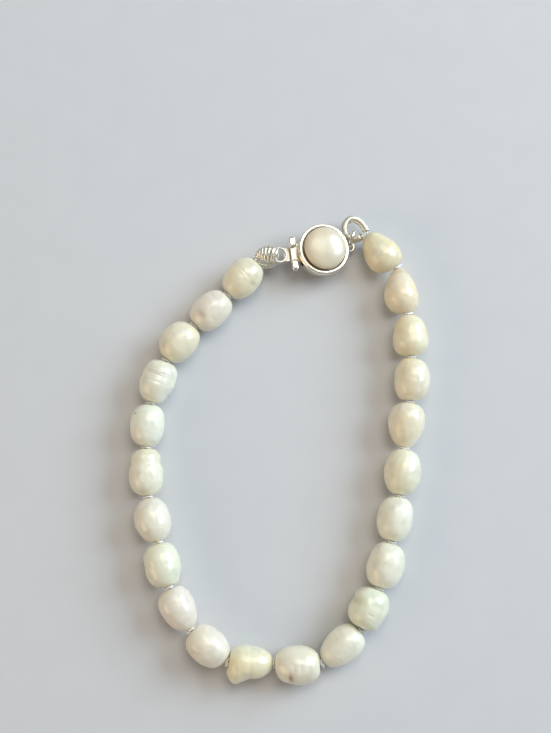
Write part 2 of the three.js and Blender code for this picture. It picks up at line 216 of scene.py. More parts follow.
# The left gimp is a loose, flattened coil. It swells where it passes over the end ring, and comes
# back under itself. width and depth are half of what the coil measures across.
CoilPlace = namedtuple("CoilPlace", "x y z width depth")
COIL_LEFT = (
    CoilPlace(-3.75, 32.0, 3.25, 0.50, 0.50),
    CoilPlace(-3.4, 32.6, 3.45, 0.62, 0.55),
    CoilPlace(-2.75, 32.95, 3.75, 1.10, 0.80),
    CoilPlace(-2.1, 33.05, 3.95, 1.40, 1.05),
    CoilPlace(-1.4, 33.05, 4.05, 1.50, 1.15),
    CoilPlace(-0.7, 33.0, 4.0, 1.42, 1.10),
    CoilPlace(-0.1, 32.85, 3.85, 1.14, 0.95),
)
COIL_BACK = (
    CoilPlace(-0.35, 31.9, 2.75, 0.45, 0.45),
    CoilPlace(-1.0, 31.5, 2.6, 0.55, 0.52),
    CoilPlace(-1.8, 31.3, 2.6, 0.58, 0.55),
    CoilPlace(-2.6, 31.3, 2.75, 0.55, 0.52),
    CoilPlace(-3.3, 31.55, 2.95, 0.50, 0.50),
)
WIRE_LEFT = {"wire": 0.225, "pitch": 0.47}
WIRE_BACK = {"wire": 0.13, "pitch": 0.3}
GIMP_LEFT_ROUTE = (
    (-3.75, 32.4, 3.3),
    (-3.15, 33.35, 3.9),
    (-2.15, 33.75, 4.5),
    (-1.05, 33.6, 4.75),
    (-0.15, 33.15, 4.45),
    (0.05, 32.75, 3.8),
    (-0.35, 32.15, 3.0),
    (-1.2, 31.6, 2.75),
    (-2.05, 31.35, 2.8),
    (-2.75, 31.45, 2.95),
)
WIRE_RIGHT = {"wire": 0.13, "pitch": 0.235}
RIGHT_REACH = 0.64
GIMP_RIGHT_ROUTE = (
    (15.15, 37.1, 3.05),
    (14.5, 38.2, 2.8),
    (13.5, 39.2, 2.4),
    (12.35, 39.4, 2.1),
    (11.5, 38.55, 1.9),
    (11.45, 37.25, 1.8),
    (12.3, 36.25, 1.8),
    (13.35, 35.95, 2.1),
    (14.3, 36.3, 2.85),
)

# The clasp is made upright about its own axis, with its tongue towards -X and its eye towards +X. Its
# place and lean come from the flat back that the frame states.
DRUM = {"radius": 4.05, "top": 2.2, "recess": 3.78, "recess_top": 2.6, "fillet": 0.09}
DRUM_SIDES = 264
HOLLOW_SIDES = 96
BUTTON_SIDES = 128
# The posts in the recess: how many, how far they stand out and over what height (mm). Each stands where
# a wave round the drum is over beat, and edge says how steeply it starts.
RECESS = {"posts": 22, "height": 0.2, "beat": 0.35, "edge": 3.0, "band": 0.2}
BEZEL = {"radius": 4.4, "rim": 4.36, "inner": 3.7, "floor": 2.9, "groove": 3.06, "top": 3.5, "fillet": 0.1}
HOLLOW = {"radius": 3.6, "floor": 0.4, "ceiling": 2.1, "fillet": 0.2}
SLOT = {"width": 4.4, "bottom": 0.6, "top": 2.0}
EYE = {"x": 5.1, "y": 0.5, "z": 1.6, "radius": 0.78, "wire": 0.22}
STEM = {"along": (3.7, 4.0, 4.34), "radius": 0.26, "sides": 20}
BUTTON = {"radius": 3.58, "bottom": 2.98, "belly": 3.95, "top": 5.2, "fullness": 2.1}
LEAF = {"width": 3.2, "thickness": 0.28, "low": 0.75, "high": 1.58, "fold": 2.3, "out": -4.6, "tip": -4.9}
NECK = {"width": 2.2, "start": -4.2, "end": -6.35, "bottom": 0.72, "height": 0.95}
EARS = {"x": -5.0, "y": -0.15, "width": 1.2, "length": 5.85, "bottom": 1.5, "height": 0.85, "saddle": 2.0}
EAR_SQUARENESS = 0.58
END_RING = {"x": -7.2, "z": 0.95, "radius": 1.2, "wire": 0.24}
BUTTON_DENTS = {"size": 2.4, "height": 0.03, "fade": 1.5}
BLOCK_ROWS = 20
BLOCK_SIDES = 40
STRIP_SIDES = 28
STRIP_SQUARENESS = 0.22
FILLET_STEPS = 4

# Edges that turn by more than this stay crisp, in degrees.
CRISP = {"pearl": 50, "button": 60, "gimp": 60, "box": 38, "tongue": 40, "ring": 50}

SILK = {"radius": 0.21, "sides": 12, "pitch": 0.9, "spacing": 0.14, "soften": 0.22}
KNOT = {"reach": 0.54, "swing": 0.2, "strand": 0.2, "steps": 72, "sides": 12}

# ---------------------------------------------------------------- the stage

FLOOR_REACH = 3.0
LIGHT_DISTANCE = 0.9
VIEW_HEIGHT = 124.6 * MM  # how much of the floor the picture's height takes in
VIEW_CENTRE = Vector((-0.78, 13.41, 0.0)) * MM

# Each light's heading and height in degrees, its width and depth in metres, and its colour.
Lamp = namedtuple("Lamp", "name azimuth elevation size shade")
LAMPS = (
    Lamp("window", 26, 30, (0.56, 0.46), (0.70, 0.86, 1.0)),
    Lamp("ceiling", 68, 64, (0.55, 0.45), (1.0, 0.95, 0.84)),
    Lamp("glow", 208, 24, (0.6, 0.34), (1.0, 0.76, 0.46)),
)


# ---------------------------------------------------------------- settings


def colour(name, description, default):
    return bpy.props.FloatVectorProperty(
        name=name, description=description, subtype="COLOR", size=3, min=0.0, max=1.0, default=default
    )


def share(name, description, default):
    return bpy.props.FloatProperty(
        name=name, description=description, subtype="FACTOR", min=0.0, max=1.0, default=default
    )


def length(name, description, default):
    return bpy.props.FloatProperty(
        name=name, description=description, unit="LENGTH", subtype="DISTANCE", min=0.0, default=default
    )


def power(name, description, default):
    return bpy.props.FloatProperty(name=name, description=description, unit="POWER", default=default)


class NacreSettings(bpy.types.PropertyGroup):
    """What a user would change about the pearls."""

    body: colour("Body", "Nacre away from any tint", (0.80, 0.815, 0.68))
    cloud: colour("Cloud", "Paler clouds in the nacre", (0.90, 0.905, 0.82))
    deep: colour("Deep", "Darker mottles in the nacre", (0.60, 0.56, 0.44))
    gold: colour("Gold", "Tint of the golden pearls", (0.86, 0.68, 0.34))
    rose: colour("Rose", "Tint of the rosy pearls", (0.80, 0.66, 0.62))
    green: colour("Green", "Tint of the greenish pearls", (0.76, 0.78, 0.58))
    stain: colour("Stain", "Brown of small stains and pits", (0.30, 0.18, 0.07))
    champagne: colour("Champagne", "Nacre of the clasp's button pearl", (0.66, 0.57, 0.41))
    roughness: share("Roughness", "How soft the deep gleam is", 0.34)
    skin_roughness: share("Skin roughness", "How soft the gleam on the skin is", 0.24)
    dents: length("Dents", "Height of the soft dents all over a pearl", 0.022 * MM)


class SilverSettings(bpy.types.PropertyGroup):
    """What a user would change about the silver."""

    bright: colour("Bright", "Polished silver", (0.96, 0.92, 0.82))
    warm: colour("Warm", "Silver that has begun to yellow", (0.90, 0.78, 0.58))
    # This colour is also the painted shade in the clasp's hollows and under its tongue, mixed with patina.
    tarnish: colour("Tarnish", "Tarnish in the corners", (0.34, 0.24, 0.13))
    roughness: share("Roughness", "Roughness of the polish", 0.24)
    gimp: colour("Gimp", "Fine wire of the gimp loops", (0.92, 0.88, 0.77))


class SilkSettings(bpy.types.PropertyGroup):
    """What a user would change about the silk."""

    fibre: colour("Fibre", "Colour of the silk", (0.97, 0.95, 0.89))
    worn: colour("Worn", "Silk that skin has darkened", (0.78, 0.71, 0.58))


class StageSettings(bpy.types.PropertyGroup):
    """The floor, the lights and the camera."""

    floor: colour("Floor", "Plain floor", (0.60, 0.60, 0.61))
    window: power("Window", "Cool side light", 8.2)
    ceiling: power("Ceiling", "Warm top light", 3.0)
    glow: power("Glow", "Golden low light", 2.2)
    sky: bpy.props.FloatProperty(name="Sky", description="Light from all round", min=0.0, default=0.24)
    distance: length("Distance", "From the camera to the floor point it looks at", 200 * MM)
    tilt: bpy.props.FloatProperty(
        name="Tilt",
        description="Lean of the view from straight down",
        subtype="ANGLE",
        default=math.radians(7),
    )


# ---------------------------------------------------------------- curves


def periodic_spline(samples, at):
    """A smooth closed curve through samples, taken at the places that at gives in sample steps."""
    samples = np.asarray(samples, float)
    count = len(samples)
    waves = 2 * np.pi * np.arange(count) / count
    gain = (6 / (4 + 2 * np.cos(waves))).reshape(-1, *[1] * (samples.ndim - 1))
    weights = np.fft.ifft(np.fft.fft(samples, axis=0) * gain, axis=0).real
    whole = np.floor(at).astype(int)
    part = (at - whole).reshape(-1, *[1] * (samples.ndim - 1))
    basis = (
        (1 - part) ** 3,
        3 * part**3 - 6 * part**2 + 4,
        -3 * part**3 + 3 * part**2 + 3 * part + 1,
        part**3,
    )
    return sum(b * weights[(whole + k - 1) % count] for k, b in enumerate(basis)) / 6


def spline_through(points, count):
    """A smooth open curve of count places through points."""
    points = np.asarray(points, float)
    knots = path_lengths(points)
    gaps = np.diff(knots)
    size = len(points)
    system = np.eye(size)
    bends = np.zeros_like(points)
    for i in range(1, size - 1):
        system[i, i - 1 : i + 2] = gaps[i - 1], 2 * (gaps[i - 1] + gaps[i]), gaps[i]
        bends[i] = 6 * ((points[i + 1] - points[i]) / gaps[i] - (points[i] - points[i - 1]) / gaps[i - 1])
    second = np.linalg.solve(system, bends)
    at = np.linspace(0, knots[-1], count)
    i = np.clip(np.searchsorted(knots, at, side="right") - 1, 0, size - 2)
    h = gaps[i][:, None]
    a = (knots[i + 1] - at)[:, None] / h
    b = 1 - a
    curve = a * points[i] + b * points[i + 1]
    return curve + ((a**3 - a) * second[i] + (b**3 - b) * second[i + 1]) * h**2 / 6


def path_lengths(path):
    return np.concatenate(([0], np.cumsum(np.linalg.norm(np.diff(path, axis=0), axis=1))))


def resampled(path, spacing):
    """The same path with places about spacing apart."""
    lengths = path_lengths(path)
    at = np.linspace(0, lengths[-1], max(2, round(lengths[-1] / spacing) + 1))
    return np.stack([np.interp(at, lengths, path[:, k]) for k in range(3)], axis=1)


def softened(path, spacing, reach):
    """The path with its corners rounded over about reach. Its ends stay."""
    path = resampled(path, spacing)
    half = max(1, round(3 * reach / spacing))
    weights = np.exp(-((np.arange(-half, half + 1) * spacing / reach) ** 2) / 2)
    padded = np.pad(path, ((half, half), (0, 0)), mode="reflect", reflect_type="odd")
    return np.stack([np.convolve(padded[:, k], weights / weights.sum(), "valid") for k in range(3)], axis=1)


def unit(vectors):
    return vectors / np.linalg.norm(vectors, axis=-1, keepdims=True)


def carried_frames(path, closed):
    """Two side directions at each place of a path, carried along it without twisting."""
    ahead = np.roll(path, -1, axis=0) - np.roll(path, 1, axis=0)
    if not closed:
        ahead[0], ahead[-1] = path[1] - path[0], path[-1] - path[-2]
    ahead = unit(ahead)
    start = np.cross(ahead[0], UP)
    side = start if np.linalg.norm(start) > 0.1 else np.cross(ahead[0], (1.0, 0.0, 0.0))
    sides = []
    for direction in ahead:
        side = unit(side - direction * (side @ direction))
        sides.append(side)
    sides = np.array(sides)
    return sides, np.cross(ahead, sides), ahead


# ---------------------------------------------------------------- meshes


class Shell:
    """Points in rows and columns that make one closed surface. Columns always close on themselves."""

    def __init__(self, points, closed=False):
        self.points = np.asarray(points, float)
        self.closed = closed

    def faces(self):
        rows, columns = self.points.shape[:2]
        row = np.arange(rows if self.closed else rows - 1)[:, None]
        column = np.arange(columns)[None, :]
        following = (row + 1) % rows
        beside = (column + 1) % columns
        corners = (
            row * columns + column,
            row * columns + beside,
            following * columns + beside,
            following * columns + column,
        )
        quads = np.stack([np.broadcast_to(c, (len(row), columns)) for c in corners], axis=-1).reshape(-1, 4)
        found = quads.tolist()
        if not self.closed:
            last = (rows - 1) * columns
            found.append(list(range(columns))[::-1])
            found.append(list(range(last, last + columns)))
        return found


def make_piece(name, shells, sharp=180, attributes=None):
    """One mesh object made of closed shells, in metres in the frame."""
    vertices, faces = [], []
    for shell in shells:
        first = len(vertices)
        found = shell.faces()
        flat = shell.points.reshape(-1, 3)
        if volume_of(flat, found) < 0:
            found = [face[::-1] for face in found]
        vertices.extend(flat.tolist())
        faces.extend([[first + i for i in face] for face in found])
    mesh = bpy.data.meshes.new(name)
    mesh.from_pydata(vertices, [], faces)
    mesh.validate()
    piece = bpy.data.objects.new(name, mesh)
    bpy.context.scene.collection.objects.link(piece)
    for key, values in (attributes or {}).items():
        paint(piece, key, values)
    smooth(mesh, sharp)
    return piece


def smooth(mesh, sharp):
    mesh.shade_smooth()
    if sharp < 180:
        mesh.set_sharp_from_angle(angle=math.radians(sharp))


def volume_of(points, faces):
    """Six times the signed volume inside the faces: negative when they point inward."""
    quads = np.array([f for f in faces if len(f) == 4])
    a, b, c, d = (points[quads[:, k]] for k in range(4))
    total = (a * (np.cross(b, c) + np.cross(c, d))).sum()
    for face in faces:
        if len(face) != 4:
            ring = points[face]
            total += (ring[0] * np.cross(ring[1:-1], ring[2:])).sum()
    return total


def swept(path, section, closed=False, turn=None):
    """A section carried along a path. section is rows of (sideways, upward), and turn rolls it (radians)."""
    side, up, _ = carried_frames(path, closed)
    section = np.asarray(section, float)
    roll = np.zeros(len(path)) if turn is None else np.asarray(turn)
    if section.ndim == 2:
        section = np.broadcast_to(section, (len(path), *section.shape))
    x = section[..., 0] * np.cos(roll)[:, None] - section[..., 1] * np.sin(roll)[:, None]
    y = section[..., 0] * np.sin(roll)[:, None] + section[..., 1] * np.cos(roll)[:, None]
    return Shell(path[:, None] + x[..., None] * side[:, None] + y[..., None] * up[:, None], closed)


def round_section(radius, sides):
    angles = np.linspace(0, 2 * np.pi, sides, endpoint=False)
    return np.stack([radius * np.cos(angles), radius * np.sin(angles)], axis=1)


def plied_section(radius, sides):
    """The outline of two plies of thread side by side."""
    angles = np.linspace(0, 2 * np.pi, sides, endpoint=False)
    reach = radius * (0.66 + 0.34 * np.cos(angles) ** 2)
    return np.stack([reach * np.cos(angles), reach * np.sin(angles)], axis=1)


def filleted(corners, radius):
    """An outline with its corners rounded. The first and last points stay as they are."""
    corners = np.asarray(corners, float)
    outline = [corners[0]]
    for before, here, after in zip(corners, corners[1:], corners[2:]):
        back, on = before - here, after - here
        cut = min(radius, 0.45 * np.linalg.norm(back), 0.45 * np.linalg.norm(on))
        start, end = here + unit(back) * cut, here + unit(on) * cut
        for t in np.linspace(0, 1, FILLET_STEPS + 1):
            outline.append((1 - t) ** 2 * start + 2 * t * (1 - t) * here + t**2 * end)
    outline.append(corners[-1])
    return np.array(outline)


def lathed(outline, sides, ripple=None):
    """An outline of (radius, height) turned about Z. ripple changes the radius by row and angle."""
    outline = np.asarray(outline, float)
    angles = np.linspace(0, 2 * np.pi, sides, endpoint=False)
    radius = np.broadcast_to(outline[:, :1], (len(outline), sides)).copy()
    if ripple is not None:
        radius += ripple(outline, angles)
    height = np.broadcast_to(outline[:, 1:], radius.shape)
    return Shell(np.stack([radius * np.cos(angles), radius * np.sin(angles), height], axis=-1))


def squared(value, squareness):
    """Bends a sine or cosine so that a circle becomes a square with soft corners."""
    return np.sign(value) * np.abs(value) ** squareness


def rounded_block(centre, half, squareness):
    """A block with soft edges and corners. half holds its three half sizes."""
    lift = np.linspace(-np.pi / 2, np.pi / 2, BLOCK_ROWS + 2)[1:-1, None]
    turn = np.linspace(0, 2 * np.pi, BLOCK_SIDES, endpoint=False)[None, :]
    out = squared(np.cos(lift), squareness)
    points = np.stack(
        [
            out * squared(np.cos(turn), squareness),
            out * squared(np.sin(turn), squareness),
            squared(np.sin(lift), squareness) * np.ones_like(turn),
        ],
        axis=-1,
    )
    return Shell(points * np.asarray(half) + np.asarray(centre))


# ---------------------------------------------------------------- joining and cutting


def combine(name, base, others, sharp):
    """Joins the others to base, or cuts them out of it. others is pairs of operation and shells."""
    whole = make_piece(name, base)
    for operation, shells in others:
        tool = make_piece("scratch", shells)
        change = whole.modifiers.new("change", "BOOLEAN")
        change.operation = operation
        change.solver = "EXACT"
        change.object = tool
        depsgraph = bpy.context.evaluated_depsgraph_get()
        made = bpy.data.meshes.new_from_object(whole.evaluated_get(depsgraph), depsgraph=depsgraph)
        old = whole.data
        whole.modifiers.clear()
        whole.data = made
        bpy.data.meshes.remove(old)
        bpy.data.objects.remove(tool)
    if not whole.data.polygons:
        raise RuntimeError(f"{name} came out empty")
    whole.data.name = name
    smooth(whole.data, sharp)
    return whole


def paint(piece, key, values):
    """Gives each vertex of a piece a number that its finish can read."""
    layer = piece.data.attributes.get(key) or piece.data.attributes.new(key, "FLOAT", "POINT")
    layer.data.foreach_set("value", np.asarray(values, np.float32).ravel())


def vertices_of(piece):
    found = np.zeros(len(piece.data.vertices) * 3, np.float32)
    piece.data.vertices.foreach_get("co", found)
    return found.reshape(-1, 3).astype(float)


def settle(piece, finish, slot, *nodes):
    """Gives a piece its finish, sets it on the bracelet's body and hides the CAD nodes it stands for."""
    piece.data.materials.clear()
    piece.data.materials.append(finish)
    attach(piece, BODY)
    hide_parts(*nodes)


# ---------------------------------------------------------------- finishes


class Value:
    """A number or colour that varies over a surface. Arithmetic on it adds Math nodes."""

    def __init__(self, finish, socket):
        self.finish = finish
        self.socket = socket

    def math(self, operation, *values):
        return self.finish.node("ShaderNodeMath", {"operation": operation}, dict(enumerate(values)))

    def __add__(self, other):
        return self.math("ADD", self, other)

    def __radd__(self, other):
        return self.math("ADD", other, self)

    def __sub__(self, other):
        return self.math("SUBTRACT", self, other)

    def __rsub__(self, other):
        return self.math("SUBTRACT", other, self)

    def __mul__(self, other):
        return self.math("MULTIPLY", self, other)

    def __rmul__(self, other):
        return self.math("MULTIPLY", other, self)

    def clamped(self):
        return self.math("MINIMUM", self.math("MAXIMUM", self, 0.0), 1.0)


class Finish:
    """A material under construction."""

    def __init__(self, name):
        self.material = bpy.data.materials.new(name)
        self.material.use_nodes = True
        self.tree = self.material.node_tree
        self.tree.nodes.clear()
        self.place = self.node("ShaderNodeTexCoord", output="Object")

    def node(self, kind, settings=None, values=None, output=0):
        """Adds a node: its settings first, then the values or links of its sockets."""
        made = self.tree.nodes.new(kind)
        for key, value in (settings or {}).items():
            setattr(made, key, value)
        for key, value in (values or {}).items():
            if isinstance(value, Value):
                self.tree.links.new(value.socket, made.inputs[key])
            else:
                made.inputs[key].default_value = value
        return Value(self, made.outputs[output])

    def painted(self, key):
        """A number that the mesh holds at each vertex."""
        return self.node("ShaderNodeAttribute", {"attribute_name": key}, output="Fac")

    def noise(self, size, detail=2.0, roughness=0.5, place=None):
        """Cloudy noise from 0 to 1 whose patches are about size across (metres)."""
        values = {"Vector": place or self.place, "Scale": 1 / size, "Detail": detail, "Roughness": roughness}
        return self.node("ShaderNodeTexNoise", None, values)

    def mix(self, amount, first, second):
        shades = {0: amount, 6: opaque(first), 7: opaque(second)}
        return self.node("ShaderNodeMix", {"data_type": "RGBA"}, shades, output=2)

    def spread(self, value, low, high):
        """Takes low to 0 and high to 1, with a soft start and end."""
        values = {"Value": value, "From Min": low, "From Max": high}
        return self.node("ShaderNodeMapRange", {"interpolation_type": "SMOOTHSTEP"}, values)

    def bump(self, height, distance, strength=1.0, normal=None):
        values = {"Height": height, "Distance": distance, "Strength": strength}
        if normal is not None:
            values["Normal"] = normal
        return self.node("ShaderNodeBump", None, values, output="Normal")

    def done(self, values):
        surface = self.node("ShaderNodeBsdfPrincipled", None, values)
        end = self.tree.nodes.new("ShaderNodeOutputMaterial")
        self.tree.links.new(surface.socket, end.inputs["Surface"])
        return self.material


def opaque(shade):
    return shade if isinstance(shade, Value) else (*shade, 1.0)


def nacre_finish(name, body, cloud, settings):
    """Nacre: a milky body under a bright skin, with soft clouds, overtones and a few stains."""
    finish = Finish(name)
    clouds = finish.spread(finish.noise(2.6 * MM, 3.0), 0.35, 0.7)
    drift = finish.noise(4.2 * MM, 1.0)
    shade = finish.mix(clouds * 0.7, body, cloud)
    shade = finish.mix((finish.painted("gold") * (0.35 + 1.1 * drift)).clamped(), shade, settings.gold)
    shade = finish.mix((finish.painted("rose") * (1.25 - 1.3 * drift)).clamped(), shade, settings.rose)
    shade = finish.mix((finish.painted("green") * (0.3 + 1.0 * clouds)).clamped(), shade, settings.green)
    shade = finish.mix(finish.painted("stain"), shade, settings.stain)
    mottles = finish.spread(finish.noise(1.9 * MM, 1.0), 0.48, 0.8)
    shade = finish.mix(mottles * 0.45, shade, settings.deep)
    skin = finish.noise(0.5 * MM, 2.0)
    roughness = settings.roughness + 0.16 * (skin - 0.5) + 0.25 * finish.painted("stain")
    grain = finish.bump(finish.noise(0.6 * MM, 1.0), 0.006 * MM, 0.3)
    scales = finish.bump(finish.noise(1.3 * MM, 1.0), 0.04 * MM, 0.3, grain)
    return finish.done(
        {
            "Base Color": shade,
            "Roughness": roughness,
            "Normal": scales,
            "IOR": 1.6,
            "Subsurface Weight": 0.18,
            "Subsurface Radius": (1.0, 0.8, 0.5),
            "Subsurface Scale": 0.5 * MM,
            "Coat Weight": 0.65,
            "Coat Roughness": settings.skin_roughness,
            "Coat IOR": 1.55,
            "Sheen Weight": 0.12,
            "Sheen Roughness": 0.4,
            "Sheen Tint": (1.0, 0.93, 0.88, 1.0),
        }
    )


def silver_finish(name, bright, settings, roughness):
    """Polished silver with fine scratches, a warm bloom, and patina with painted shade where polishing and
    light don't reach.
    """
    finish = Finish(name)
    # The painted mask is partly patina and partly painted shade: hollows, undersides and the inside of the
    # drum come out darker and rougher.
    tarnish = finish.painted("tarnish")
    bloom = finish.spread(finish.noise(1.6 * MM, 3.0), 0.45, 0.75)
    patchy = (tarnish * (0.75 + 0.5 * finish.noise(0.5 * MM, 3.0))).clamped()
    shade = finish.mix(bloom * 0.45, bright, settings.warm)
    # Painted shade and patina: the colour darkens towards brown where the painted mask is high.
    shade = finish.mix(patchy, shade, settings.tarnish)
    stretched = finish.node("ShaderNodeMapping", None, {"Vector": finish.place, "Scale": (1.0, 7.0, 1.0)})
    scratches = finish.noise(0.28 * MM, 4.0, 0.6, stretched)
    wear = roughness + 0.14 * (scratches - 0.5) + 0.3 * patchy
    dents = finish.bump(finish.noise(1.1 * MM, 2.0), 0.03 * MM, 0.35)
    return finish.done(
        {
            "Base Color": shade,
            "Metallic": 1.0,
            "Roughness": wear.clamped(),
            "Normal": finish.bump(scratches, 0.006 * MM, 0.5, dents),
        }
    )


def silk_finish(settings):
    """Twisted silk: pale, soft and a little darker where it has been handled."""
    finish = Finish("twisted_silk")
    handled = finish.spread(finish.noise(1.4 * MM, 3.0), 0.4, 0.8)
    fibres = finish.noise(0.07 * MM, 3.0)
    shade = finish.mix(handled * 0.4, settings.fibre, settings.worn)
    return finish.done(
        {
            "Base Color": finish.mix(0.25 * fibres, shade, (1.0, 1.0, 1.0)),
            "Roughness": 0.6 + 0.25 * fibres,
            "Normal": finish.bump(fibres, 0.02 * MM, 0.6),
            "Subsurface Weight": 0.35,
            "Subsurface Radius": (1.0, 0.9, 0.75),
            "Subsurface Scale": 0.5 * MM,
            "Sheen Weight": 0.5,
            "Sheen Roughness": 0.35,
        }
    )


# ---------------------------------------------------------------- reading the frame

Pearl = namedtuple("Pearl", "number start axis outward along radius")


def box_centre(node):
    low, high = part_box(node)
    return np.array((low + high) / 2)


def pearl_node(number):
    return f"pearl_{number:02d}"


def bore_axis(mesh):
    """The direction that most faces share: that of the flats round the bore's mouths."""
    normals = np.array([face.normal for face in mesh.polygons])
    level = normals[np.abs(normals[:, 2]) < 1e-3]
    return level[(level @ level.T > 0.99999).sum(axis=1).argmax()]


def read_pearl(number):
    """A pearl of the frame as rings: how far along each ring is, and its radius on every side (mm)."""
    mesh = frame["nodes"][pearl_node(number)].data
    points = np.unique(np.round([v.co for v in mesh.vertices], 7), axis=0) / MM
    axis = bore_axis(mesh)
    neighbour = number - 1 if number > 1 else 2
    toward = box_centre(pearl_node(neighbour)) - box_centre(pearl_node(number))
    if (axis @ toward > 0) == (number > 1):
        axis = -axis
    depth = points @ axis
    start = points[depth < depth.min() + RING_GAP].mean(axis=0)
    outward = np.cross(axis, UP)
    out, up, depth = (points - start) @ outward, (points - start) @ UP, depth - depth.min()
    reach, side = np.hypot(out, up), np.degrees(np.arctan2(out, up))
    order = np.argsort(depth)
    ring = np.zeros(len(points), int)
    ring[order[1:]] = np.cumsum(np.diff(depth[order]) > RING_GAP)
    sector = np.round(side / (360 / CAD_SIDES)).astype(int) % CAD_SIDES
    radius = np.zeros((ring.max() + 1, CAD_SIDES))
    along = np.zeros(ring.max() + 1)
    for r, s, distance, place in zip(ring, sector, reach, depth):
        radius[r, s] = max(radius[r, s], distance)
        along[r] = place
    return Pearl(number, start, axis, outward, along, radius)


# ---------------------------------------------------------------- fine pearls


def bell(distance, spread):
    return np.exp(-((distance / spread) ** 2))


def spot(mark, at, side):
    """How strongly a mark is felt at each place, from 0 to 1."""
    if mark.side is None:
        return bell(at - mark.at, mark.along) * np.ones_like(side)
    turn = (side - mark.side + 180) % 360 - 180
    return bell(at - mark.at, mark.along) * bell(turn, mark.around)


def soft_dents(points, seed, size):
    """Smooth random heights from about -1 to 1 whose waves are about size across (mm)."""
    random = np.random.default_rng(seed)
    heights = np.zeros(points.shape[:-1])
    for _ in range(DENTS["waves"]):
        direction = unit(random.normal(size=3)) * 2 * np.pi / (size * random.uniform(0.7, 1.6))
        heights += np.sin(points @ direction + random.uniform(0, 2 * np.pi))
    return heights / math.sqrt(DENTS["waves"])


def mirrored(rings, sign):
    """Rings continued past both ends of a pearl, so that they close on themselves."""
    return np.concatenate([rings, sign * rings[-2:0:-1]])


def pearl_surface(pearl, settings):
    """The skin of a pearl as rows of points (mm), with how far along and on which side each is."""
    rings = len(pearl.along)
    row_at = np.linspace(0, rings - 1, PEARL_ROWS)
    side_at = np.arange(PEARL_SIDES) * pearl.radius.shape[1] / PEARL_SIDES
    along = periodic_spline(mirrored(pearl.along, 1), row_at)
    swell = periodic_spline(mirrored(pearl.radius - DRILL_FACE, -1), row_at)
    swell = periodic_spline(swell.T, side_at).T
    at = (along / along[-1])[:, None]
    side = np.linspace(0, 360, PEARL_SIDES, endpoint=False)[None, :] * np.ones_like(at)
    radius = DRILL_FACE + swell
    spokes = np.sin(np.radians(side))[..., None] * pearl.outward + np.cos(np.radians(side))[..., None] * UP
    fade = np.clip(swell / SKIN_FADE, 0, 1)
    lean = sum(m.reach * spot(m, at, side) for m in LEANS if m.pearl == pearl.number)
    depth = along[:, None] + fade * lean
    centre = pearl.start + depth[..., None] * pearl.axis
    height = sum(m.height * spot(m, at, side) for m in MARKS if m.pearl == pearl.number)
    for furrow in FURROWS:
        if furrow.pearl == pearl.number:
            height = height + furrow.depth * np.cos(np.radians(side * furrow.count) + 3 * np.sin(at * 4))
    plain = centre + spokes * radius[..., None]
    broad = soft_dents(plain, RNG_SEED + pearl.number, DENTS["broad"])
    fine = soft_dents(plain, FINE_SEED + pearl.number, DENTS["fine"])
    dents = broad + DENTS["fine_share"] * fine
    radius = radius + fade * (height + dents * settings.dents / MM)
    return centre + spokes * radius[..., None], at, side


def bore_wall(pearl, rim):
    """Rows of points that go from the last mouth of the bore, through it, back to the first (mm)."""
    whole = pearl.along[-1]
    rows = [(reach, whole - depth) for reach, depth in MOUTH]
    rows += [(BORE, whole / 2), *reversed(MOUTH)]
    reaches, depths = np.array(rows).T
    spokes = unit(rim - rim.mean(axis=0))
    return pearl.start + depths[:, None, None] * pearl.axis + reaches[:, None, None] * spokes


def build_pearl(number, settings, finish):
    pearl = read_pearl(number)
    skin, at, side = pearl_surface(pearl, settings)
    points = np.concatenate([skin, bore_wall(pearl, skin[0])])
    tone = TONES[number - 1]
    stain = np.zeros(points.shape[:2])
    for mark in STAINS:
        if mark.pearl == number:
            stain[: len(skin)] += mark.strength * spot(mark, at, side)
    even = np.ones(points.shape[:2])
    attributes = {
        "gold": tone.gold * even,
        "rose": tone.rose * even,
        "green": tone.green * even,
        "stain": np.clip(stain, 0, 1),
    }
    shells = [Shell(points * MM, closed=True)]
    piece = make_piece(f"nacre_pearl_{number:02d}", shells, CRISP["pearl"], attributes)
    settle(piece, finish, "pearl", pearl_node(number))
    return pearl


class BRACELET_OT_pearls(bpy.types.Operator):
    """Makes the 22 pearls of the string, each with its own dents, grooves, tints and stains"""

    bl_idname = "bracelet.pearls"
    bl_label = "Pearls"

    def execute(self, context):
        settings = context.scene.bracelet_nacre
        finish = nacre_finish("nacre", settings.body, settings.cloud, settings)
        for number in range(1, PEARL_COUNT + 1):
            build_pearl(number, settings, finish)
        return {"FINISHED"}


# ---------------------------------------------------------------- silk


def plan_shift():
    """From the plan in which the gimp's routes are written to the frame (mm)."""
    return box_centre("jump_ring") / MM - np.array(JUMP_RING_CENTRE)


def pearl_ends(pearl):
    return pearl.start, pearl.start + pearl.axis * pearl.along[-1]


def knot_between(before, after):
    """Where the knot between two pearls sits, which way it faces and how much room it has."""
    last, first = pearl_ends(before)[1], pearl_ends(after)[0]
    facing = unit(before.axis + after.axis)
    return (last + first) / 2, facing, np.linalg.norm(first - last)


def knot_shell(centre, facing, room):
    """A thread knotted over itself and pulled tight against both pearls."""
    turn = np.linspace(0, 2 * np.pi, KNOT["steps"], endpoint=False)
    reach = KNOT["reach"] + KNOT["swing"] * np.cos(3 * turn)
    depth = max(0.04, room / 2 - KNOT["strand"]) * np.sin(3 * turn)
    side = unit(np.cross(facing, UP))
    top = np.cross(side, facing)
    path = (
        centre
        + (reach * np.cos(2 * turn))[:, None] * side
        + (reach * np.sin(2 * turn))[:, None] * top
        + depth[:, None] * facing
    )
    plies = plied_section(KNOT["strand"], KNOT["sides"])
    return swept(path * MM, plies * MM, closed=True, turn=turn * 9)


